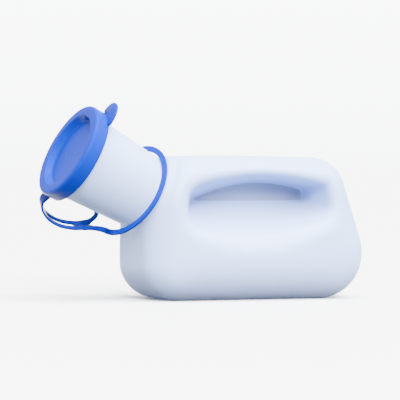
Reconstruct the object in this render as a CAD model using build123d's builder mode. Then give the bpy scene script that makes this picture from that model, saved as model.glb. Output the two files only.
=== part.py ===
from build123d import *
import os
from math import cos, radians, sin, tan

# Urine bottle lying on its side: a blow-moulded bottle with a wide slanted neck,
# and one blue moulding of lid, tether strap and neck ring that snaps onto it.
# The bottle stands on its flat lower side at z = 0. The mouth looks towards -X
# and up, Y is the width, and the two halves of the bottle meet at y = 0.

# ---- Body, in millimetres ----
BODY_LENGTH = 185.0
BODY_WIDTH = 90.0
BODY_HEIGHT = 109.0
WALL = 1.5
FRONT_LOWER_CORNER = 28.0  # outline radii
REAR_LOWER_CORNER = 34.0
FRONT_TOP_CORNER = 36.0    # under the neck
REAR_TOP_CORNER = 27.0
REAR_KNEE = 44.0           # soft bend where the rear end starts to lean forwards
KNEE_HEIGHT = 42.0
REAR_LEAN = 23.5           # how far the rear end leans in at the top
SIDE_ROUND = 26.0          # rounding all round both sides

# ---- Finger recesses under the grip bar ----
WEB = 3.4                  # thickness where the two recesses almost meet
SLOT_FRONT = -47.0         # ends of the recess at the web
SLOT_REAR = 50.5
SLOT_BOTTOM = 72.5
SLOT_TOP = 88.5
SLOT_CORNER = 6.5
SCOOP_FRONT = -67.0        # ends of the recess at the side of the body
SCOOP_REAR = 51.0
SCOOP_BOTTOM = 42.0
SCOOP_TOP = 95.0
SCOOP_CORNER = 22.0
SCOOP_OVERRUN = 4.0        # the recess is cut from this far outside the side

# ---- Neck; distances along it are counted outwards from its base centre ----
NECK_BASE_X = -90.0
NECK_BASE_Z = 83.6
NECK_TILT = 27.5           # degrees above horizontal
NECK_BASE_RADIUS = 28.8
NECK_MOUTH_RADIUS = 33.1
NECK_WALL = 1.4
MOUTH = 61.4
NECK_ROOT = 26.0           # how far the neck reaches back into the body
BEAD_START = 57.4
BEAD_END = 60.4
BEAD_RADIUS = 34.9
BEAD_CORNER = 0.9          # bevels that soften the bead
BEAD_RUN_OUT = 1.2         # taper where the bead starts on the neck
MOUTH_OVERRUN = 1.0        # the hollow is cut this far past the mouth

# ---- Shoulder: turned about the neck axis, so that the neck ring can lie and turn on it ----
SHOULDER_LINE = [(28.7, -5.0), (33.0, -6.4), (37.0, -10.5), (62.0, -20.5)]
SHOULDER_CLEARED_FROM = 5.0    # inside the neck, where the cut meets no wall
SHOULDER_CLEARED_TO = 25.0     # how far outwards along the neck the space is cleared

# ---- Lid ----
CLIP_TURN = 30.0           # how far the blue moulding is turned round the neck
LID_RADIUS = 37.5
SKIRT_EDGE = 52.0
SKIRT_INSIDE_RADIUS = 35.7
LID_FRONT = 63.5
LID_UNDERSIDE = 61.7
RIM_ROUND = 2.2
RECESS_TOP_RADIUS = 29.6
RECESS_FLOOR_RADIUS = 27.0
RECESS_FLOOR = 58.4
PLUG_TOP_RADIUS = 31.1
PLUG_BOTTOM_RADIUS = 28.3
PLUG_BOTTOM = 56.8
PLUG_ROUND = 1.4
SNAP_BEAD = 0.35
SNAP_BEAD_START = 52.6
SNAP_BEAD_END = 54.4
TAB_REACH = 12.5           # how far the thumb tab stands out of the skirt
TAB_HALF_WIDTH = 12.5
TAB_THICKNESS = 1.8
TAB_OVERLAP = 0.8          # how far the tab reaches into the skirt

# ---- Tether strap, drawn in the plane of the neck axis and the strap ----
STRAP_WIDTH = 13.0
STRAP_THICKNESS = 1.7
STRAP_SLOT = 4.0
# Points of the strap's middle line: distance from the neck axis, distance along it.
STRAP_ROUTE = [
    (38.5, 53.6),
    (44.5, 56.4),
    (51.2, 52.6),
    (55.4, 43.5),
    (55.2, 32.0),
    (50.4, 22.0),
    (45.2, 14.4),
    (40.0, 7.4),
]
STRAP_BENDS = [6.0, 7.0, 10.0, 14.0, 20.0, 40.0]
LONG_SLOT = (44.0, 62.0, 25.0, 50.0)    # nearest, farthest from the neck axis; lowest, highest along it
FORK_SLOT = (41.0, 48.0, 5.0, 17.5)

# ---- Neck ring ----
RING_INSIDE_RADIUS = 33.2
RING_OUTSIDE_RADIUS = 37.8
RING_THICKNESS = 1.8
RING_EDGE = 0.5            # rounding of its edges
RING_POSITION = 2.6        # where the ring's centre lies along the neck
RING_DROP = 3.2            # it hangs this far off the neck axis, towards the strap
RING_TILT = 7.0            # degrees its strap side is pulled towards the mouth
RING_SIDE_TILT = 10.2      # degrees its far side is pulled towards the mouth

# ---- Directions worked out from the sizes above ----
tilt = radians(NECK_TILT)
mouthward = Vector(-cos(tilt), 0, sin(tilt))
chinward = Vector(-sin(tilt), 0, -cos(tilt))
neck_base = Vector(NECK_BASE_X, 0, NECK_BASE_Z)
neck_frame = Plane(origin=neck_base, x_dir=chinward, z_dir=mouthward)
turn = radians(CLIP_TURN)
strapward = chinward * cos(turn) + Vector(0, 1, 0) * sin(turn)
clip_frame = Plane(origin=neck_base, x_dir=strapward, z_dir=mouthward)


def lengthwise(frame):
    """The plane that holds the frame's x axis and its z axis, for sections round that z axis."""
    return Plane(origin=frame.origin, x_dir=frame.x_dir, z_dir=-frame.y_dir)


def recess_section(depth, front, rear, bottom, top, corner):
    """A rounded upright rectangle, placed at the given distance from the middle of the bottle."""
    with BuildSketch(Plane.XZ.offset(depth)) as section:
        with Locations(((front + rear) / 2, (bottom + top) / 2)):
            RectangleRounded(rear - front, top - bottom, corner)
    return section.sketch


def bottle_form(inset, neck_end):
    """The bottle's solid form, drawn in by the given distance all over."""
    half_length = BODY_LENGTH / 2
    corners = [
        (-half_length, 0),
        (half_length, 0),
        (half_length, KNEE_HEIGHT),
        (half_length - REAR_LEAN, BODY_HEIGHT),
        (-half_length, BODY_HEIGHT),
    ]
    radii = [FRONT_LOWER_CORNER, REAR_LOWER_CORNER, REAR_KNEE, REAR_TOP_CORNER, FRONT_TOP_CORNER]
    with BuildPart() as form:
        with BuildSketch(Plane.XZ) as outline:
            with BuildLine():
                FilletPolyline(*corners, radius=radii, close=True)
            make_face()
            if inset > 0:
                offset(amount=-inset)
        extrude(amount=BODY_WIDTH / 2 - inset, both=True)
        sides = form.faces().sort_by(Axis.Y)
        fillet(sides[0].edges() + sides[-1].edges(), SIDE_ROUND - inset)

        # The shoulder, turned down to leave room for the ring.
        with BuildSketch(lengthwise(neck_frame)):
            with BuildLine():
                Polyline(
                    (SHOULDER_CLEARED_FROM, SHOULDER_LINE[0][1]),
                    *SHOULDER_LINE,
                    (SHOULDER_LINE[-1][0], SHOULDER_CLEARED_TO),
                    (SHOULDER_CLEARED_FROM, SHOULDER_CLEARED_TO),
                    close=True,
                )
            make_face()
            if inset > 0:
                offset(amount=inset)
        revolve(axis=Axis(neck_base, mouthward), mode=Mode.SUBTRACT)

        # The neck: a slow cone round the slanted axis.
        with BuildSketch(lengthwise(neck_frame)):
            with BuildLine():
                slope = (NECK_MOUTH_RADIUS - NECK_BASE_RADIUS) / MOUTH
                root_radius = NECK_BASE_RADIUS - slope * NECK_ROOT
                end_radius = NECK_BASE_RADIUS + slope * neck_end
                draw_in = inset * NECK_WALL / WALL
                Polyline(
                    (0, -NECK_ROOT),
                    (root_radius - draw_in, -NECK_ROOT),
                    (end_radius - draw_in, neck_end),
                    (0, neck_end),
                    close=True,
                )
            make_face()
        revolve(axis=Axis(neck_base, mouthward))

        # The finger recesses, one from each side, grown by the inset.
        inner = recess_section(
            WEB / 2 - inset,
            SLOT_FRONT - inset,
            SLOT_REAR + inset,
            SLOT_BOTTOM - inset,
            SLOT_TOP + inset,
            SLOT_CORNER + inset,
        )
        outer = recess_section(
            BODY_WIDTH / 2 + SCOOP_OVERRUN,
            SCOOP_FRONT - inset,
            SCOOP_REAR + inset,
            SCOOP_BOTTOM - inset,
            SCOOP_TOP + inset,
            SCOOP_CORNER + inset,
        )
        recess = loft([inner, outer], mode=Mode.PRIVATE)
        add(recess, mode=Mode.SUBTRACT)
        add(mirror(recess, about=Plane.XZ, mode=Mode.PRIVATE), mode=Mode.SUBTRACT)
    return form.part


# ---- Bottle body: outer form, mouth bead, hollowed by the inner form ----
with BuildPart() as bottle_body:
    add(bottle_form(0, MOUTH))
    with BuildSketch(lengthwise(neck_frame)):
        with BuildLine():
            Polyline(
                (NECK_MOUTH_RADIUS - NECK_WALL / 2, BEAD_START - BEAD_RUN_OUT),
                (BEAD_RADIUS - BEAD_CORNER / 2, BEAD_START),
                (BEAD_RADIUS, BEAD_START + BEAD_CORNER),
                (BEAD_RADIUS, BEAD_END - BEAD_CORNER),
                (BEAD_RADIUS - BEAD_CORNER, BEAD_END),
                (NECK_MOUTH_RADIUS - NECK_WALL / 2, MOUTH),
                close=True,
            )
        make_face()
    revolve(axis=Axis(neck_base, mouthward))
    add(bottle_form(WALL, MOUTH + MOUTH_OVERRUN), mode=Mode.SUBTRACT)
bottle_body.part.label = "bottle_body"

# ---- Lid: recessed centre that plugs the mouth, rounded rim, skirt and thumb tab ----
with BuildPart() as lid:
    with BuildSketch(lengthwise(clip_frame)) as lid_section:
        with BuildLine():
            Polyline(
                (0, RECESS_FLOOR),
                (RECESS_FLOOR_RADIUS, RECESS_FLOOR),
                (RECESS_TOP_RADIUS, LID_FRONT),
                (LID_RADIUS, LID_FRONT),
                (LID_RADIUS, SKIRT_EDGE),
                (SKIRT_INSIDE_RADIUS, SKIRT_EDGE),
                (SKIRT_INSIDE_RADIUS, SNAP_BEAD_START),
                (SKIRT_INSIDE_RADIUS - SNAP_BEAD, (SNAP_BEAD_START + SNAP_BEAD_END) / 2),
                (SKIRT_INSIDE_RADIUS, SNAP_BEAD_END),
                (SKIRT_INSIDE_RADIUS, LID_UNDERSIDE),
                (PLUG_TOP_RADIUS, LID_UNDERSIDE),
                (PLUG_BOTTOM_RADIUS, PLUG_BOTTOM),
                (0, PLUG_BOTTOM),
                close=True,
            )
        make_face()
        plug_corner = lid_section.vertices().sort_by_distance((PLUG_BOTTOM_RADIUS, PLUG_BOTTOM, 0))[0]
        fillet(plug_corner, PLUG_ROUND)
        rim_corners = lid_section.vertices().group_by(Axis.Y)[-1]
        fillet(rim_corners, RIM_ROUND)
    revolve(axis=Axis(neck_base, mouthward))
    with BuildSketch(clip_frame.offset(SKIRT_EDGE)):
        with Locations((-LID_RADIUS - TAB_REACH + TAB_HALF_WIDTH, 0)):
            Circle(TAB_HALF_WIDTH)
        with Locations((-LID_RADIUS, 0)):
            Rectangle(2 * (LID_RADIUS - SKIRT_INSIDE_RADIUS), 2 * TAB_HALF_WIDTH)
        Circle(LID_RADIUS - TAB_OVERLAP, mode=Mode.SUBTRACT)
    extrude(amount=TAB_THICKNESS)
lid.part.label = "lid"

# ---- Tether strap: a flat band bent in a loose U, with a slot and a fork at the ring ----
strap_frame = lengthwise(clip_frame)
with BuildPart() as tether_strap:
    with BuildSketch(strap_frame):
        with BuildLine():
            FilletPolyline(*STRAP_ROUTE, radius=STRAP_BENDS)
            offset(amount=STRAP_THICKNESS / 2, side=Side.BOTH, mode=Mode.REPLACE)
        make_face()
    extrude(amount=STRAP_WIDTH / 2, both=True)
    for near, far, low, high in (LONG_SLOT, FORK_SLOT):
        with BuildSketch(strap_frame):
            with Locations(((near + far) / 2, (low + high) / 2)):
                Rectangle(far - near, high - low)
        extrude(amount=STRAP_SLOT / 2, both=True, mode=Mode.SUBTRACT)
tether_strap.part.label = "tether_strap"

# ---- Neck ring: flat and loose, hanging on the neck with its strap side pulled outwards ----
sideways = Vector(0, 1, 0) * cos(turn) - chinward * sin(turn)
ring_normal = mouthward - strapward * tan(radians(RING_TILT)) - sideways * tan(radians(RING_SIDE_TILT))
ring_frame = Plane(
    origin=neck_base + strapward * RING_DROP + mouthward * RING_POSITION,
    z_dir=ring_normal,
)
with BuildPart() as neck_ring:
    with BuildSketch(ring_frame.offset(-RING_THICKNESS / 2)):
        Circle(RING_OUTSIDE_RADIUS)
        Circle(RING_INSIDE_RADIUS, mode=Mode.SUBTRACT)
    extrude(amount=RING_THICKNESS)
    fillet(neck_ring.edges(), RING_EDGE)
neck_ring.part.label = "neck_ring"

os.makedirs("parts", exist_ok=True)
for piece in (bottle_body, lid, tether_strap, neck_ring):
    export_step(piece.part, f"parts/{piece.part.label}.step")
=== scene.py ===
"""Urine bottle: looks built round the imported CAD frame.

The bottle is a translucent white blow-moulded shell. The lid, tether strap and
neck ring are one glossy blue moulding. Sizes below are millimetres in the CAD
frame; meshes are made in metres.
"""

import math

import bmesh
import bpy
import numpy as np
from mathutils import Matrix, Vector


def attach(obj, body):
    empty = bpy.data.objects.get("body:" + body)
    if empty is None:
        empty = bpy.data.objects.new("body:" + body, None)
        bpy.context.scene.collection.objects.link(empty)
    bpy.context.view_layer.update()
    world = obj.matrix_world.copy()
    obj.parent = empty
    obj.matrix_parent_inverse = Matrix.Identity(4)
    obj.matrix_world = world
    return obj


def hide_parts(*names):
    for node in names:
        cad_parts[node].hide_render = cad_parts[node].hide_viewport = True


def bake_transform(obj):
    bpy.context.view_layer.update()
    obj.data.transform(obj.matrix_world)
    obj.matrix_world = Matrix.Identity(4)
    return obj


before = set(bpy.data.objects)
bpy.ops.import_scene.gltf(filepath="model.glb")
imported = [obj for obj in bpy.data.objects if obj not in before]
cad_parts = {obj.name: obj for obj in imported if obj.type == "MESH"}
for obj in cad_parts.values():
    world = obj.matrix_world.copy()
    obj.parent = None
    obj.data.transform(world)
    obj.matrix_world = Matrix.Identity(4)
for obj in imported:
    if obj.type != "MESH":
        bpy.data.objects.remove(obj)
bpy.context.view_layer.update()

MM = 0.001

# ---- Body outline and rounding ----
HALF_LENGTH = 92.5
HALF_WIDTH = 45.0
HEIGHT = 109.0
KNEE_HEIGHT = 42.0
REAR_LEAN = 23.5
TOP_SAG = 0.8            # the top line drops this much away from the grip bar
OUTLINE_RADII = [28.0, 34.0, 44.0, 27.0, 600.0, 36.0]
ROUND_DEPTH = 34.0       # side rounding, measured inwards from the outline
ROUND_WIDTH = 27.0       # the same rounding, measured across the width
WALL = 1.45

# ---- Finger recesses ----
WEB_HALF = 1.7
SLOT = {"front": -47.0, "rear": 50.5, "top": 89.0, "top_at": 13.0, "arch": 0.00413,
        "bottom": 74.6, "bottom_at": 0.0, "smile": 0.0, "corner": 3.0}
SCOOP = {"front": -68.0, "rear": 60.0, "top": 97.0, "top_at": -9.0, "arch": 0.0030,
         "bottom": 43.5, "bottom_at": -11.0, "smile": 0.0040, "corner": 14.0}
RIM_BLEND = 9.0

# ---- Neck ----
NECK_BASE = np.array([-90.0, 0.0, 83.6])
NECK_TILT = math.radians(27.5)
NECK_RADIUS = 28.8
NECK_SLOPE = (33.1 - 28.8) / 61.4
NECK_ROOT = -26.0
MOUTH = 61.4
BEAD_CENTRE = (33.4, 58.9)
BEAD_HALF = 1.5
SHOULDER_R = [0.0, 28.7, 33.0, 37.0, 62.0, 112.0]
SHOULDER_S = [-5.0, -5.0, -6.4, -10.5, -20.5, -40.5]

# ---- Directions of the blue moulding: mouthward, strapward and sideways ----
CLIP_TURN = math.radians(30.0)
MOUTHWARD = np.array([-math.cos(NECK_TILT), 0.0, math.sin(NECK_TILT)])
CHINWARD = np.array([-math.sin(NECK_TILT), 0.0, -math.cos(NECK_TILT)])
ACROSS = np.array([0.0, 1.0, 0.0])
STRAPWARD = CHINWARD * math.cos(CLIP_TURN) + ACROSS * math.sin(CLIP_TURN)
SIDEWAYS = ACROSS * math.cos(CLIP_TURN) - CHINWARD * math.sin(CLIP_TURN)


# ======== Shape tools ========

def rounded_outline(corners, radii, steps=10):
    """A closed outline with an arc at each corner."""
    points = []
    count = len(corners)
    for i in range(count):
        here = np.array(corners[i], float)
        before = np.array(corners[i - 1], float) - here
        after = np.array(corners[(i + 1) % count], float) - here
        before /= np.linalg.norm(before)
        after /= np.linalg.norm(after)
        half = math.acos(float(np.clip(before @ after, -1, 1))) / 2
        if radii[i] <= 0 or half > math.pi / 2 - 1e-4:
            points.append(here)
            continue
        reach = radii[i] / math.tan(half)
        inward = (before + after) / np.linalg.norm(before + after)
        centre = here + inward * radii[i] / math.sin(half)
        start = here + before * reach - centre
        end = here + after * reach - centre
        sweep = math.pi - 2 * half
        for k in range(steps + 1):
            a = sweep * k / steps
            mix = (math.sin(sweep - a) * start + math.sin(a) * end) / math.sin(sweep)
            points.append(centre + mix)
    return np.array(points)


def outline_distance(outline, x, z):
    """Distance to a closed outline, negative inside it."""
    best = np.full(x.shape, 1e9)
    inside = np.zeros(x.shape, bool)
    for i in range(len(outline)):
        ax, az = outline[i - 1]
        bx, bz = outline[i]
        ex, ez = bx - ax, bz - az
        length = ex * ex + ez * ez
        if length < 1e-12:
            continue
        t = np.clip(((x - ax) * ex + (z - az) * ez) / length, 0, 1)
        best = np.minimum(best, (x - ax - t * ex) ** 2 + (z - az - t * ez) ** 2)
        crosses = (az > z) != (bz > z)
        if az != bz:
            inside ^= crosses & (x < ax + (z - az) * ex / ez)
    return np.where(inside, -1, 1) * np.sqrt(best)


def soft_max(a, b, k):
    """The larger of two distances, blended over k."""
    h = np.maximum(k - np.abs(a - b), 0) / k
    return np.maximum(a, b) + h * h * k / 4


def soft_min(a, b, k):
    """The smaller of two distances, blended over k."""
    return -soft_max(-a, -b, k)


def rounded_box(a, b, half_a, half_b, rounding):
    """Distance to a rectangle with rounded corners."""
    da = np.abs(a) - (half_a - rounding)
    db = np.abs(b) - (half_b - rounding)
    outside = np.hypot(np.maximum(da, 0), np.maximum(db, 0))
    return outside + np.minimum(np.maximum(da, db), 0) - rounding


def blurred(field, sigma):
    """The field smoothed by a Gaussian, sigma in cells."""
    reach = int(3 * sigma)
    weights = np.exp(-0.5 * (np.arange(-reach, reach + 1) / sigma) ** 2)
    weights /= weights.sum()
    for axis in (0, 1):
        pad = [(reach, reach) if k == axis else (0, 0) for k in (0, 1)]
        wide = np.pad(field, pad, mode="edge")
        size = field.shape[axis]
        total = np.zeros_like(field)
        for k, weight in enumerate(weights):
            total += weight * np.take(wide, range(k, k + size), axis=axis)
        field = total
    return field


def slope_at(field, points, step=0.1):
    """The field's value and gradient at the points."""
    gradient = np.empty_like(points)
    for axis in range(3):
        nudge = np.zeros(3)
        nudge[axis] = step
        gradient[:, axis] = (field(points + nudge) - field(points - nudge)) / (2 * step)
    return field(points), gradient


def settle(field, points, level=0.0, rounds=3):
    """The points moved on to the field's surface at the given level."""
    for _ in range(rounds):
        value, gradient = slope_at(field, points)
        square = np.maximum((gradient ** 2).sum(1), 0.05)
        move = ((value - level) / square)[:, None] * gradient
        points = points - np.clip(move, -1.0, 1.0)
    return points


def surface(field, low, high, step):
    """A quad mesh of the field's zero surface inside the given box."""
    axes = [np.arange(low[k], high[k] + step, step) for k in range(3)]
    shape = tuple(len(a) for a in axes)
    grid = np.stack(np.meshgrid(*axes, indexing="ij"), -1).reshape(-1, 3)
    values = np.concatenate([field(part) for part in np.array_split(grid, 12)])
    values = values.reshape(shape)
    cells = tuple(n - 1 for n in shape)
    total = np.zeros(cells + (3,))
    count = np.zeros(cells)
    corner = [(i, j, k) for i in (0, 1) for j in (0, 1) for k in (0, 1)]

    def block(c):
        return values[c[0]:c[0] + cells[0], c[1]:c[1] + cells[1], c[2]:c[2] + cells[2]]

    for first in corner:
        for axis in range(3):
            if first[axis]:
                continue
            second = tuple(first[k] + (k == axis) for k in range(3))
            a, b = block(first), block(second)
            crossed = (a < 0) != (b < 0)
            share = np.where(crossed, a / np.where(crossed, a - b, 1), 0)
            for k in range(3):
                total[..., k] += crossed * (first[k] + share * (k == axis))
            count += crossed
    used = count > 0
    number = np.full(cells, -1)
    number[used] = np.arange(int(used.sum()))
    at = np.argwhere(used)
    points = (total[used] / count[used][:, None] + at) * step + np.array(low)
    faces = []
    for axis in range(3):
        u, v = (axis + 1) % 3, (axis + 2) % 3
        near = np.take(values, range(shape[axis] - 1), axis=axis) < 0
        far = np.take(values, range(1, shape[axis]), axis=axis) < 0
        for outward in (True, False):
            edge = np.argwhere(near & ~far if outward else ~near & far)
            keep = np.all(edge[:, [u, v]] > 0, axis=1)
            keep &= (edge[:, u] < cells[u]) & (edge[:, v] < cells[v])
            edge = edge[keep]
            ring = []
            for du, dv in ((0, 0), (1, 0), (1, 1), (0, 1)):
                cell = edge.copy()
                cell[:, u] -= 1 - du
                cell[:, v] -= 1 - dv
                ring.append(number[cell[:, 0], cell[:, 1], cell[:, 2]])
            quad = np.stack(ring if outward else ring[::-1], 1)
            faces.append(quad)
    return settle(field, points), np.concatenate(faces)


def make_object(name, points, faces):
    """A mesh object from millimetre points."""
    mesh = bpy.data.meshes.new(name)
    mesh.from_pydata((np.asarray(points) * MM).tolist(), [], [list(face) for face in faces])
    mesh.validate()
    made = bpy.data.objects.new(name, mesh)
    bpy.context.scene.collection.objects.link(made)
    mesh.polygons.foreach_set("use_smooth", [True] * len(mesh.polygons))
    return made


def clip_point(r, s, w=0.0):
    """A point given by its distances strapward, mouthward and sideways from the neck base."""
    return NECK_BASE + STRAPWARD * r + MOUTHWARD * s + SIDEWAYS * w


def spline(points, count):
    """A smooth curve through the points, evenly spaced."""
    p = np.array(points, float)
    p = np.vstack([2 * p[0] - p[1], p, 2 * p[-1] - p[-2]])
    out = []
    for i in range(1, len(p) - 2):
        for t in np.linspace(0, 1, 24, endpoint=False):
            a = 2 * p[i]
            b = p[i + 1] - p[i - 1]
            c = 2 * p[i - 1] - 5 * p[i] + 4 * p[i + 1] - p[i + 2]
            d = 3 * p[i] - p[i - 1] - 3 * p[i + 1] + p[i + 2]
            out.append((a + b * t + c * t * t + d * t ** 3) / 2)
    out.append(p[-2])
    out = np.array(out)
    length = np.concatenate([[0], np.cumsum(np.linalg.norm(np.diff(out, axis=0), axis=1))])
    even = np.linspace(0, length[-1], count)
    return np.stack([np.interp(even, length, out[:, k]) for k in range(out.shape[1])], 1)


# ======== Bottle ========

CELL = 0.5
GRID_LOW = (-110.0, -15.0)
grid_x, grid_z = np.meshgrid(
    np.arange(GRID_LOW[0], 110.0, CELL), np.arange(GRID_LOW[1], 125.0, CELL), indexing="ij"
)

body_outline = rounded_outline(
    [
        (-HALF_LENGTH, 0),
        (HALF_LENGTH, 0),
        (HALF_LENGTH, KNEE_HEIGHT),
        (HALF_LENGTH - REAR_LEAN, HEIGHT - TOP_SAG),
        (4, HEIGHT),
        (-HALF_LENGTH, HEIGHT - TOP_SAG),
    ],
    OUTLINE_RADII,
)
depth_field = -outline_distance(body_outline, grid_x, grid_z)
ease = np.clip((depth_field - 8) / 16, 0, 1)
ease = ease * ease * (3 - 2 * ease)
depth_field = depth_field * (1 - ease) + blurred(depth_field, 14) * ease


def recess_outline(shape):
    """Distance to an outline with an arched top and a smiling bottom."""
    above = grid_x - shape["top_at"]
    below = grid_x - shape["bottom_at"]
    upper = grid_z - shape["top"] + shape["arch"] * above ** 2
    lower = shape["bottom"] + shape["smile"] * below ** 2 - grid_z
    upper /= np.sqrt(1 + (2 * shape["arch"] * above) ** 2)
    lower /= np.sqrt(1 + (2 * shape["smile"] * below) ** 2)
    ends = np.maximum(shape["front"] - grid_x, grid_x - shape["rear"])
    return soft_max(soft_max(upper, lower, shape["corner"]), ends, shape["corner"])


slot_field = recess_outline(SLOT)
scoop_field = recess_outline(SCOOP)
rise = slot_field / soft_max(slot_field - scoop_field, np.full(grid_x.shape, 5.0), 4.0)
recess_field = WEB_HALF + (HALF_WIDTH - WEB_HALF) * np.clip(rise, 0, 2.2)
recess_field = blurred(recess_field, 1.2)
steep = np.gradient(recess_field, CELL)
recess_scale = 1 / np.sqrt(1 + steep[0] ** 2 + steep[1] ** 2)


def sample(field, x, z):
    """The grid field at any points."""
    i = np.clip((x - GRID_LOW[0]) / CELL, 0, field.shape[0] - 1.001)
    j = np.clip((z - GRID_LOW[1]) / CELL, 0, field.shape[1] - 1.001)
    i0, j0 = i.astype(int), j.astype(int)
    fi, fj = i - i0, j - j0
    low = field[i0, j0] * (1 - fi) + field[i0 + 1, j0] * fi
    high = field[i0, j0 + 1] * (1 - fi) + field[i0 + 1, j0 + 1] * fi
    return low * (1 - fj) + high * fj


def neck_coordinates(p):
    """Distance from the neck axis and distance along it."""
    away = p - NECK_BASE
    s = away @ MOUTHWARD
    return np.linalg.norm(away - s[:, None] * MOUTHWARD, axis=1), s


def plain_bottle(p):
    """The bottle without its mouth bead."""
    x, y, z = p[:, 0], np.abs(p[:, 1]), p[:, 2]
    depth = sample(depth_field, x, z)
    a = np.maximum(ROUND_DEPTH - depth, 0) / ROUND_DEPTH
    b = np.maximum(y - (HALF_WIDTH - ROUND_WIDTH), 0) / ROUND_WIDTH
    out = np.hypot(a, b)
    scale = np.hypot(a / ROUND_DEPTH, b / ROUND_WIDTH)
    body = np.where(out > 0.05, out * (out - 1) / np.maximum(scale, 1e-6), -25.0)
    recess = (y - sample(recess_field, x, z)) * sample(recess_scale, x, z)
    body = soft_max(body, recess, RIM_BLEND)
    r, s = neck_coordinates(p)
    shoulder = (s - np.interp(r, SHOULDER_R, SHOULDER_S)) * 0.93
    body = soft_max(body, shoulder, 4.0)
    neck = np.maximum(r - (NECK_RADIUS + NECK_SLOPE * s), NECK_ROOT - s)
    neck = np.maximum(neck, s - MOUTH - 5)
    return soft_min(body, neck, 3.5)


def whole_bottle(p):
    """The bottle with its mouth bead."""
    r, s = neck_coordinates(p)
    bead = rounded_box(r - BEAD_CENTRE[0], s - BEAD_CENTRE[1], BEAD_HALF, BEAD_HALF, 1.1)
    return soft_min(plain_bottle(p), bead, 0.8)


def build_bottle():
    """The outer surface, an inner wall behind it and a rim at the mouth."""
    points, faces = surface(whole_bottle, (-168, -47.25, -2.25), (95, 47.25, 148), 1.5)
    made = make_object("bottle", points, faces)
    shape = bmesh.new()
    shape.from_mesh(made.data)
    everything = shape.verts[:] + shape.edges[:] + shape.faces[:]
    bmesh.ops.bisect_plane(
        shape,
        geom=everything,
        plane_co=(NECK_BASE + MOUTHWARD * MOUTH) * MM,
        plane_no=MOUTHWARD,
        clear_outer=True,
    )
    bmesh.ops.remove_doubles(shape, verts=shape.verts, dist=0.05 * MM)
    shape.verts.index_update()
    outer = np.array([v.co for v in shape.verts]) / MM
    outer_faces = [[v.index for v in f.verts] for f in shape.faces]
    rim = []
    for edge in shape.edges:
        if edge.is_boundary:
            a, b = (v.index for v in edge.verts)
            loop = edge.link_loops[0]
            rim.append((a, b) if loop.vert.index == a else (b, a))
    shape.free()
    count = len(outer)
    gradient = slope_at(plain_bottle, outer)[1]
    normal = gradient / np.linalg.norm(gradient, axis=1)[:, None]
    inner = settle(plain_bottle, outer - normal * WALL, level=-WALL, rounds=2)
    outer[:, 2] = np.maximum(outer[:, 2], 0)
    outer[:, 0] = np.minimum(outer[:, 0], HALF_LENGTH)
    outer[:, 1] = np.clip(outer[:, 1], -HALF_WIDTH, HALF_WIDTH)
    inner_faces = [[k + count for k in reversed(f)] for f in outer_faces]
    rim_faces = [[b, a, a + count, b + count] for a, b in rim]
    old = made.data
    mesh = bpy.data.meshes.new("bottle")
    mesh.from_pydata((np.vstack([outer, inner]) * MM).tolist(), [], outer_faces + inner_faces + rim_faces)
    mesh.polygons.foreach_set("use_smooth", [True] * len(mesh.polygons))
    made.data = mesh
    bpy.data.meshes.remove(old)
    sharp = {frozenset(e) for e in rim} | {frozenset((a + count, b + count)) for a, b in rim}
    for edge in mesh.edges:
        if frozenset(edge.vertices) in sharp:
            edge.use_edge_sharp = True
    return made


# ======== Lid ========

LID_SECTION = [
    (0.0, 58.4),
    (26.6, 58.4),
    (29.2, 63.5),
    (37.5, 63.5),
    (37.5, 52.0),
    (35.7, 52.0),
    (35.7, 61.7),
    (31.1, 61.7),
    (28.3, 56.8),
    (0.0, 56.8),
]
LID_RADII = [0, 1.6, 0.9, 2.3, 0.5, 0.4, 0.5, 0.5, 1.4, 0]
TAB_REACH = 12.5
TAB_HALF_WIDTH = 12.5
TAB_THICKNESS = 1.8
TAB_EDGE = 0.55                  # height and inset of the tab's softened edge
TAB_CHAMFER = 0.16               # the step halfway round that edge
TAB_ROOT = -36.4                 # where the tab ends inside the lid's rim
TAB_ROOT_INSET = 1.2
TAB_MIDDLE = -40.0               # the edge is drawn in towards this point
LID_RIM_RADIUS = 37.5
SKIRT_EDGE = 52.0


def turned(name, section, turns=192):
    """A solid turned about the neck axis from an outline that starts and ends on it."""
    points = []
    for r, s in section:
        for k in range(turns):
            a = 2 * math.pi * k / turns
            points.append(
                NECK_BASE + MOUTHWARD * s + (STRAPWARD * math.cos(a) + SIDEWAYS * math.sin(a)) * r
            )
    faces = []
    for i in range(len(section) - 1):
        for k in range(turns):
            n = (k + 1) % turns
            faces.append([i * turns + k, (i + 1) * turns + k, (i + 1) * turns + n, i * turns + n])
    made = make_object(name, points, faces)
    shape = bmesh.new()
    shape.from_mesh(made.data)
    bmesh.ops.remove_doubles(shape, verts=shape.verts, dist=0.001 * MM)
    bmesh.ops.recalc_face_normals(shape, faces=shape.faces)
    shape.to_mesh(made.data)
    shape.free()
    return made


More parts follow.
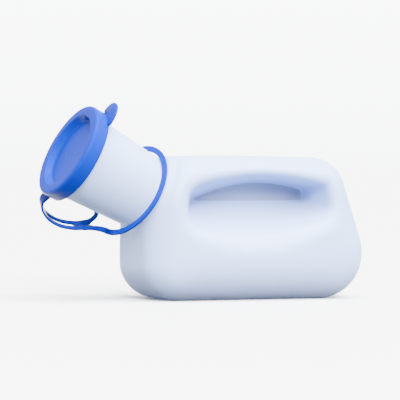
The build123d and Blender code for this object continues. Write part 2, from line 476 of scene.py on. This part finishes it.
def build_tab():
    """The thumb tab: a half-round tongue opposite the strap, with softened edges."""
    outline = []
    for k in range(41):
        a = math.pi / 2 + math.pi * k / 40
        x = -LID_RIM_RADIUS + TAB_REACH - TAB_HALF_WIDTH + math.cos(a) * TAB_HALF_WIDTH
        outline.append((x, math.sin(a) * TAB_HALF_WIDTH))
    edge = [(TAB_ROOT, -TAB_HALF_WIDTH + TAB_ROOT_INSET)] + outline[::-1]
    edge = [(x, y) for x, y in edge if x <= TAB_ROOT]
    edge.append((TAB_ROOT, TAB_HALF_WIDTH - TAB_ROOT_INSET))
    levels = [
        (0.0, TAB_EDGE),
        (TAB_CHAMFER, TAB_CHAMFER),
        (TAB_EDGE, 0.0),
        (TAB_THICKNESS - TAB_EDGE, 0.0),
        (TAB_THICKNESS - TAB_CHAMFER, TAB_CHAMFER),
        (TAB_THICKNESS, TAB_EDGE),
    ]
    centre = np.array([TAB_MIDDLE, 0.0])
    points = []
    for height, inset in levels:
        for x, y in edge:
            away = np.array([x, y]) - centre
            away *= 1 - inset / np.linalg.norm(away)
            x, y = centre + away
            points.append(clip_point(x, SKIRT_EDGE + height, y))
    count = len(edge)
    faces = []
    for i in range(len(levels) - 1):
        for k in range(count):
            n = (k + 1) % count
            faces.append([i * count + k, i * count + n, (i + 1) * count + n, (i + 1) * count + k])
    faces.append(list(range(count))[::-1])
    faces.append([(len(levels) - 1) * count + k for k in range(count)])
    mesh = bpy.data.meshes.new("tab")
    mesh.from_pydata((np.array(points) * MM).tolist(), [], faces)
    made = bpy.data.objects.new("tab", mesh)
    bpy.context.scene.collection.objects.link(made)
    shape = bmesh.new()
    shape.from_mesh(mesh)
    bmesh.ops.recalc_face_normals(shape, faces=shape.faces)
    shape.to_mesh(mesh)
    shape.free()
    return made


def build_lid():
    """The turned lid with its tab joined on."""
    closed = rounded_outline(LID_SECTION, LID_RADII, steps=6)
    made = turned("lid_cap", closed)
    tab = build_tab()
    join = made.modifiers.new("tab", "BOOLEAN")
    join.operation = "UNION"
    join.solver = "EXACT"
    join.object = tab
    ready = made.evaluated_get(bpy.context.evaluated_depsgraph_get())
    mesh = bpy.data.meshes.new_from_object(ready)
    made.modifiers.clear()
    made.data = mesh
    bpy.data.objects.remove(tab)
    mesh.polygons.foreach_set("use_smooth", [True] * len(mesh.polygons))
    mesh.set_sharp_from_angle(angle=math.radians(38))
    return made


# ======== Ring and strap ========

RING_POSITION = 2.6
RING_DROP = 3.2
RING_MIDDLE_RADIUS = 35.5
RING_HALF_WIDTH = 2.3
RING_HALF_THICKNESS = 0.9
RING_GAP = 20.0           # half the angle left open between the strap's two arms, in degrees
ring_centre = clip_point(RING_DROP, RING_POSITION)
ring_normal = MOUTHWARD - STRAPWARD * math.tan(math.radians(7.0)) - SIDEWAYS * math.tan(math.radians(10.2))
ring_normal /= np.linalg.norm(ring_normal)
ring_strapward = STRAPWARD - ring_normal * (STRAPWARD @ ring_normal)
ring_strapward /= np.linalg.norm(ring_strapward)
ring_sideways = np.cross(ring_normal, ring_strapward)
if ring_sideways @ SIDEWAYS < 0:
    ring_sideways = -ring_sideways

STRAP_HALF_WIDTH = 6.5
STRAP_HALF_THICKNESS = 0.85
STRAP_ROUTE = [
    (36.9, 53.3), (40.5, 54.6), (45.2, 55.0), (50.2, 51.4), (53.9, 43.5), (54.2, 33.0),
    (50.8, 23.0), (46.6, 16.4), (43.2, 11.8),
]
LONG_SLOT = (20.0, 46.0)  # start and end along the strap, from the lid
SLOT_HALF_WIDTH = 2.0
FORK_START = 53.0
ARM_HALF_WIDTH = 2.2


def ring_point(angle, radius=RING_MIDDLE_RADIUS):
    """A point of the ring's middle line; the strap is at angle 0."""
    return ring_centre + (ring_strapward * math.cos(angle) + ring_sideways * math.sin(angle)) * radius


def ribbon(p, path, flat, half_width, half_thickness, rounding=0.45):
    """Distance to a flat ribbon that follows a path; flat holds its thickness direction."""
    best = np.full(len(p), 1e9)
    for i in range(len(path) - 1):
        along = path[i + 1] - path[i]
        share = np.clip(((p - path[i]) @ along) / (along @ along), 0, 1)
        off = p - path[i] - share[:, None] * along
        up = flat[i] * (1 - share[:, None]) + flat[i + 1] * share[:, None]
        up /= np.linalg.norm(up, axis=1)[:, None]
        t = (off * up).sum(1)
        w = np.linalg.norm(off - t[:, None] * up, axis=1)
        best = np.minimum(best, rounded_box(w, t, half_width, half_thickness, rounding))
    return best


def build_ring():
    """The flat neck ring, open where the strap's arms take over."""
    gap = math.radians(RING_GAP)
    turns = 240
    section = rounded_outline(
        [
            (-RING_HALF_WIDTH, -RING_HALF_THICKNESS),
            (RING_HALF_WIDTH, -RING_HALF_THICKNESS),
            (RING_HALF_WIDTH, RING_HALF_THICKNESS),
            (-RING_HALF_WIDTH, RING_HALF_THICKNESS),
        ],
        [0.5] * 4,
        steps=4,
    )
    count = len(section)
    points = []
    for k in range(turns + 1):
        a = gap + (2 * math.pi - 2 * gap) * k / turns
        out = ring_strapward * math.cos(a) + ring_sideways * math.sin(a)
        for across, up in section:
            points.append(ring_centre + out * (RING_MIDDLE_RADIUS + across) + ring_normal * up)
    faces = []
    for i in range(turns):
        for k in range(count):
            n = (k + 1) % count
            faces.append([i * count + k, (i + 1) * count + k, (i + 1) * count + n, i * count + n])
    faces.append(list(range(count)))
    faces.append([turns * count + k for k in reversed(range(count))])
    made = make_object("collar_ring", points, faces)
    shape = bmesh.new()
    shape.from_mesh(made.data)
    bmesh.ops.recalc_face_normals(shape, faces=shape.faces)
    shape.to_mesh(made.data)
    shape.free()
    made.data.set_sharp_from_angle(angle=math.radians(40))
    return made


def build_strap():
    """The strap: a band with a long slot that forks into two arms at the ring."""
    route = spline(STRAP_ROUTE, 90)
    step = np.linalg.norm(np.diff(route, axis=0), axis=1)
    length = np.concatenate([[0], np.cumsum(step)])

    def band(p):
        away = p - NECK_BASE
        r, s, w = away @ STRAPWARD, away @ MOUTHWARD, away @ SIDEWAYS
        best = np.full(len(p), 1e9)
        along = np.zeros(len(p))
        for i in range(len(route) - 1):
            a, b = route[i], route[i + 1]
            e = b - a
            t = np.clip(((r - a[0]) * e[0] + (s - a[1]) * e[1]) / (e @ e), 0, 1)
            d = np.hypot(r - a[0] - t * e[0], s - a[1] - t * e[1])
            along = np.where(d < best, length[i] + t * step[i], along)
            best = np.minimum(best, d)
        middle = (LONG_SLOT[0] + LONG_SLOT[1]) / 2
        half = (LONG_SLOT[1] - LONG_SLOT[0]) / 2
        slot = rounded_box(along - middle, w, half, SLOT_HALF_WIDTH, 1.9)
        fork = rounded_box(along - FORK_START - 20, w, 20, 1.4, 1.3)
        shape = np.abs(w) - STRAP_HALF_WIDTH
        shape = np.maximum(shape, -slot)
        shape = np.maximum(shape, -fork)
        a = shape + 0.45
        b = best - (STRAP_HALF_THICKNESS - 0.45)
        return np.hypot(np.maximum(a, 0), np.maximum(b, 0)) + np.minimum(np.maximum(a, b), 0) - 0.45

    end, before = route[-1], route[-8]
    run = (end - before) / np.linalg.norm(end - before)
    lift = STRAPWARD * run[1] - MOUTHWARD * run[0]
    if lift @ ring_normal < 0:
        lift = -lift
    arms = []
    for side in (1, -1):
        path = []
        flat = []
        start = clip_point(end[0] - run[0] * 4, end[1] - run[1] * 4, side * 4.2)
        leave = (STRAPWARD * run[0] + MOUTHWARD * run[1]) * 14
        join = ring_point(side * math.radians(21))
        tangent = (ring_point(side * math.radians(26)) - ring_point(side * math.radians(16)))
        tangent = tangent / np.linalg.norm(tangent) * 14
        for t in np.linspace(0, 1, 15):
            h = t * t * (3 - 2 * t)
            path.append(
                (2 * t**3 - 3 * t**2 + 1) * start + (t**3 - 2 * t**2 + t) * leave
                + (3 * t**2 - 2 * t**3) * join + (t**3 - t**2) * tangent
            )
            flat.append(lift * (1 - h) + ring_normal * h)
        for extra in (25, 29, 33):
            path.append(ring_point(side * math.radians(extra)))
            flat.append(ring_normal)
        arms.append((np.array(path), np.array(flat)))

    def field(p):
        whole = band(p)
        for path, flat in arms:
            whole = soft_min(whole, ribbon(p, path, flat, ARM_HALF_WIDTH, RING_HALF_THICKNESS), 1.6)
        return whole

    def local(q):
        return field(NECK_BASE + q[:, :1] * STRAPWARD + q[:, 1:2] * MOUTHWARD + q[:, 2:] * SIDEWAYS)

    points, faces = surface(local, (27, 0, -21), (58, 58.5, 21), 0.6)
    points = (
        NECK_BASE + points[:, :1] * STRAPWARD + points[:, 1:2] * MOUTHWARD + points[:, 2:] * SIDEWAYS
    )
    if np.cross(STRAPWARD, MOUTHWARD) @ SIDEWAYS < 0:
        faces = faces[:, ::-1]
    return make_object("tether", points, faces)


# ======== Materials ========

def new_material(name):
    """An empty node material and its shader."""
    material = bpy.data.materials.new(name)
    material.use_nodes = True
    nodes = material.node_tree.nodes
    return material, nodes, material.node_tree.links, nodes["Principled BSDF"]


def noise(nodes, links, coordinates, scale, detail):
    """A noise texture in object space."""
    texture = nodes.new("ShaderNodeTexNoise")
    texture.inputs["Scale"].default_value = scale
    texture.inputs["Detail"].default_value = detail
    links.new(coordinates.outputs["Object"], texture.inputs["Vector"])
    return texture.outputs["Fac"]


def ramp(nodes, links, source, dark, light):
    """Two colours mixed by a source value."""
    mix = nodes.new("ShaderNodeMix")
    mix.data_type = "RGBA"
    mix.inputs[6].default_value = (*dark, 1)
    mix.inputs[7].default_value = (*light, 1)
    links.new(source, mix.inputs[0])
    return mix.outputs[2]


def spread(nodes, links, source, low, high):
    """A value mapped from 0..1 to low..high."""
    mapping = nodes.new("ShaderNodeMapRange")
    mapping.inputs["To Min"].default_value = low
    mapping.inputs["To Max"].default_value = high
    links.new(source, mapping.inputs["Value"])
    return mapping.outputs["Result"]


def fading(nodes, links, source, full, gone):
    """1 up to the first value and 0 from the second, eased between them."""
    mapping = nodes.new("ShaderNodeMapRange")
    mapping.interpolation_type = "SMOOTHSTEP"
    mapping.inputs["From Min"].default_value = full
    mapping.inputs["From Max"].default_value = gone
    mapping.inputs["To Min"].default_value = 1.0
    mapping.inputs["To Max"].default_value = 0.0
    links.new(source, mapping.inputs["Value"])
    return mapping.outputs["Result"]


def bump(nodes, links, height, distance, strength, below=None):
    """A bump node, stacked on another one if given."""
    made = nodes.new("ShaderNodeBump")
    made.inputs["Strength"].default_value = strength
    made.inputs["Distance"].default_value = distance
    links.new(height, made.inputs["Height"])
    if below is not None:
        links.new(below, made.inputs["Normal"])
    return made.outputs["Normal"]


def bottle_material():
    """Milky HDPE: slight mottling, painted shade that darkens recesses and creases by ambient occlusion, a
    darker painted shade on the web between the finger recesses, faint orange peel and a parting line down
    the middle.
    """
    material, nodes, links, shader = new_material("bottle_hdpe")
    place = nodes.new("ShaderNodeTexCoord")
    cloud = noise(nodes, links, place, 28.0, 3.0)
    open_colour = ramp(nodes, links, cloud, (0.36, 0.50, 0.92), (0.40, 0.54, 0.96))
    # Painted shade: ambient occlusion mixes the colour towards grey-blue in recesses, creases and under
    # the grip bar.
    openness = nodes.new("ShaderNodeAmbientOcclusion")
    openness.inputs["Distance"].default_value = 0.045
    openness.samples = 8
    depth = nodes.new("ShaderNodeMapRange")
    depth.inputs["From Min"].default_value = 0.1
    depth.inputs["From Max"].default_value = 0.75
    links.new(openness.outputs["AO"], depth.inputs["Value"])
    painted_recess_shade = nodes.new("ShaderNodeMix")
    painted_recess_shade.data_type = "RGBA"
    painted_recess_shade.inputs[6].default_value = (0.27, 0.35, 0.62, 1)
    links.new(open_colour, painted_recess_shade.inputs[7])
    links.new(depth.outputs["Result"], painted_recess_shade.inputs[0])

    # Painted shade: the web between the finger recesses, which the grip bar shades, is darkened further.
    split = nodes.new("ShaderNodeSeparateXYZ")
    links.new(place.outputs["Object"], split.inputs["Vector"])
    away = nodes.new("ShaderNodeMath")
    away.operation = "ABSOLUTE"
    links.new(split.outputs["Y"], away.inputs[0])
    near_middle = fading(nodes, links, away.outputs["Value"], 0.0018, 0.0026)
    enclosed = fading(nodes, links, openness.outputs["AO"], 0.55, 0.85)
    past_middle = nodes.new("ShaderNodeMath")
    past_middle.operation = "SUBTRACT"
    past_middle.inputs[1].default_value = (SLOT["front"] + SLOT["rear"]) / 2 * MM
    links.new(split.outputs["X"], past_middle.inputs[0])
    along = nodes.new("ShaderNodeMath")
    along.operation = "ABSOLUTE"
    links.new(past_middle.outputs["Value"], along.inputs[0])
    half_slot = (SLOT["rear"] - SLOT["front"]) / 2 * MM
    in_slot = fading(nodes, links, along.outputs["Value"], half_slot, half_slot + 0.002)
    inside = nodes.new("ShaderNodeMath")
    inside.operation = "MULTIPLY"
    links.new(near_middle, inside.inputs[0])
    links.new(in_slot, inside.inputs[1])
    web_shade_mask = nodes.new("ShaderNodeMath")
    web_shade_mask.operation = "MULTIPLY"
    links.new(inside.outputs["Value"], web_shade_mask.inputs[0])
    links.new(enclosed, web_shade_mask.inputs[1])
    painted_web_shade = nodes.new("ShaderNodeMix")
    painted_web_shade.data_type = "RGBA"
    painted_web_shade.inputs[7].default_value = (0.16, 0.20, 0.33, 1)
    links.new(painted_recess_shade.outputs[2], painted_web_shade.inputs[6])
    links.new(web_shade_mask.outputs["Value"], painted_web_shade.inputs[0])
    links.new(painted_web_shade.outputs[2], shader.inputs["Base Color"])
    grain = noise(nodes, links, place, 160.0, 2.0)
    links.new(spread(nodes, links, grain, 0.40, 0.52), shader.inputs["Roughness"])
    shader.inputs["Subsurface Weight"].default_value = 0.35
    shader.inputs["Subsurface Radius"].default_value = (1.0, 1.05, 1.25)
    shader.inputs["Subsurface Scale"].default_value = 0.004
    shader.inputs["IOR"].default_value = 1.5
    shader.inputs["Specular IOR Level"].default_value = 0.35
    peel = bump(nodes, links, noise(nodes, links, place, 420.0, 2.0), 0.0004, 0.10)
    line = fading(nodes, links, away.outputs["Value"], 0.0002, 0.0007)
    links.new(bump(nodes, links, line, 0.0003, 0.5, peel), shader.inputs["Normal"])
    return material


def blue_material(name, dark, light, rough):
    """Glossy LDPE: faint flow marks and a slightly uneven gloss."""
    material, nodes, links, shader = new_material(name)
    place = nodes.new("ShaderNodeTexCoord")
    flow = noise(nodes, links, place, 45.0, 4.0)
    links.new(ramp(nodes, links, flow, dark, light), shader.inputs["Base Color"])
    gloss = noise(nodes, links, place, 220.0, 2.0)
    links.new(spread(nodes, links, gloss, rough, rough + 0.1), shader.inputs["Roughness"])
    shader.inputs["Subsurface Weight"].default_value = 0.08
    shader.inputs["Subsurface Radius"].default_value = (0.3, 0.6, 1.2)
    shader.inputs["Subsurface Scale"].default_value = 0.001
    shader.inputs["IOR"].default_value = 1.51
    shader.inputs["Specular IOR Level"].default_value = 0.045
    shader.inputs["Specular Tint"].default_value = (0.02, 0.35, 1.0, 1)
    peel = bump(nodes, links, noise(nodes, links, place, 500.0, 2.0), 0.0002, 0.05)
    waves = bump(nodes, links, noise(nodes, links, place, 60.0, 1.0), 0.0006, 0.05, peel)
    links.new(waves, shader.inputs["Normal"])
    return material


def stage_material():
    """A plain pale floor."""
    material, _, _, shader = new_material("floor")
    shader.inputs["Base Color"].default_value = (0.92, 0.92, 0.93, 1)
    shader.inputs["Roughness"].default_value = 0.7
    return material


# ======== Putting it together ========

bottle = build_bottle()
bottle.data.materials.append(bottle_material())
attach(bottle, "bottle")
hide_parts("bottle_body")

blue = blue_material("lid_ldpe", (0.0002, 0.014, 0.27), (0.0003, 0.018, 0.30), 0.2)
# Painted shade: the strap and ring get a slightly darker copy of the lid's blue, though all three are one
# moulding.
shaded_blue = blue_material("strap_ldpe", (0.0002, 0.013, 0.25), (0.0003, 0.017, 0.28), 0.22)

lid = build_lid()
lid.data.materials.clear()
lid.data.materials.append(blue)
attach(lid, "cap")
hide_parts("lid")

ring = build_ring()
ring.data.materials.append(shaded_blue)
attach(ring, "collar")
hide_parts("neck_ring")

strap = build_strap()
strap.data.materials.append(shaded_blue)
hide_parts("tether_strap")
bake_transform(strap)


# ======== Stage, light and camera ========

def area_light(name, place, target, size, power):
    """A square soft light that looks at the target."""
    data = bpy.data.lights.new(name, "AREA")
    data.size = size
    data.energy = power
    made = bpy.data.objects.new(name, data)
    made.location = place
    made.rotation_euler = (Vector(target) - Vector(place)).to_track_quat("-Z", "Y").to_euler()
    bpy.context.scene.collection.objects.link(made)


bpy.ops.mesh.primitive_plane_add(size=12, location=(0, 0, 0))
floor = bpy.context.object
floor.name = "floor"
floor.data.materials.append(stage_material())
floor.visible_diffuse = False

SKY_FRONT = 1.9          # strength of the surroundings in front of the bottle and overhead
SKY_BEHIND = 11.0        # and of the bright wall behind it
SKY_BELOW = 0.2          # share of that light that comes up from below
WALL_DIRECTION = (0.449, 0.893, 0.0)

world = bpy.data.worlds.new("studio")
bpy.context.scene.world = world
world.use_nodes = True
sky = world.node_tree.nodes
sky_links = world.node_tree.links
direction = sky.new("ShaderNodeTexCoord")
facing = sky.new("ShaderNodeVectorMath")
facing.operation = "DOT_PRODUCT"
facing.inputs[1].default_value = WALL_DIRECTION
sky_links.new(direction.outputs["Generated"], facing.inputs[0])
strength = sky.new("ShaderNodeMapRange")
strength.interpolation_type = "SMOOTHSTEP"
strength.inputs["From Min"].default_value = 0.93
strength.inputs["From Max"].default_value = 0.98
strength.inputs["To Min"].default_value = SKY_FRONT
strength.inputs["To Max"].default_value = SKY_BEHIND
sky_links.new(facing.outputs["Value"], strength.inputs["Value"])
parts = sky.new("ShaderNodeSeparateXYZ")
sky_links.new(direction.outputs["Generated"], parts.inputs["Vector"])
lift = sky.new("ShaderNodeMapRange")
lift.inputs["From Min"].default_value = -0.25
lift.inputs["From Max"].default_value = 0.10
lift.inputs["To Min"].default_value = SKY_BELOW
lift.inputs["To Max"].default_value = 1.0
sky_links.new(parts.outputs["Z"], lift.inputs["Value"])
whole = sky.new("ShaderNodeMath")
whole.operation = "MULTIPLY"
sky_links.new(strength.outputs["Result"], whole.inputs[0])
sky_links.new(lift.outputs["Result"], whole.inputs[1])
sky["Background"].inputs["Color"].default_value = (0.95, 0.97, 1.0, 1)
sky_links.new(whole.outputs["Value"], sky["Background"].inputs["Strength"])


def distant_light(name, direction, strength, spread_degrees):
    """A very large soft light; the direction points at it."""
    data = bpy.data.lights.new(name, "SUN")
    data.energy = strength
    data.angle = math.radians(spread_degrees)
    made = bpy.data.objects.new(name, data)
    made.rotation_euler = Vector(direction).to_track_quat("Z", "Y").to_euler()
    bpy.context.scene.collection.objects.link(made)


distant_light("overhead", (0.15, -0.35, 0.92), 19.0, 60)
distant_light("front", (-0.18, -0.88, 0.44), 9.0, 18)
area_light("glint", (-0.55, -1.15, 0.75), (-0.13, 0, 0.11), 0.12, 9.0)

AZIMUTH = math.radians(26.7)     # how far the camera stands towards -X from straight in front
ELEVATION = math.radians(2.2)
DISTANCE = 2.0
ROLL = math.radians(0.73)
LENS = 234.0
MIDDLE_HEIGHT = 0.0525
AIM_LEFT = 0.0324                # how far the camera aims beside and above the body's middle
AIM_UP = 0.0222
towards = Vector((
    -math.sin(AZIMUTH) * math.cos(ELEVATION),
    -math.cos(AZIMUTH) * math.cos(ELEVATION),
    math.sin(ELEVATION),
))
right = Vector((math.cos(AZIMUTH), -math.sin(AZIMUTH), 0))
up = towards.cross(right)
centre = Vector((0, 0, MIDDLE_HEIGHT))
eye = centre + towards * DISTANCE
aim = centre - right * AIM_LEFT + up * AIM_UP
camera_data = bpy.data.cameras.new("camera")
camera_data.lens = LENS
camera_data.sensor_width = 36.0
camera = bpy.data.objects.new("camera", camera_data)
camera.location = eye
look = (aim - eye).normalized()
level = look.cross(Vector((0, 0, 1))).normalized()
head = level.cross(look)
rolled_right = level * math.cos(ROLL) + head * math.sin(ROLL)
rolled_up = head * math.cos(ROLL) - level * math.sin(ROLL)
turn = Matrix((rolled_right, rolled_up, -look)).transposed().to_4x4()
camera.matrix_world = Matrix.Translation(eye) @ turn
bpy.context.scene.collection.objects.link(camera)
bpy.context.scene.camera = camera
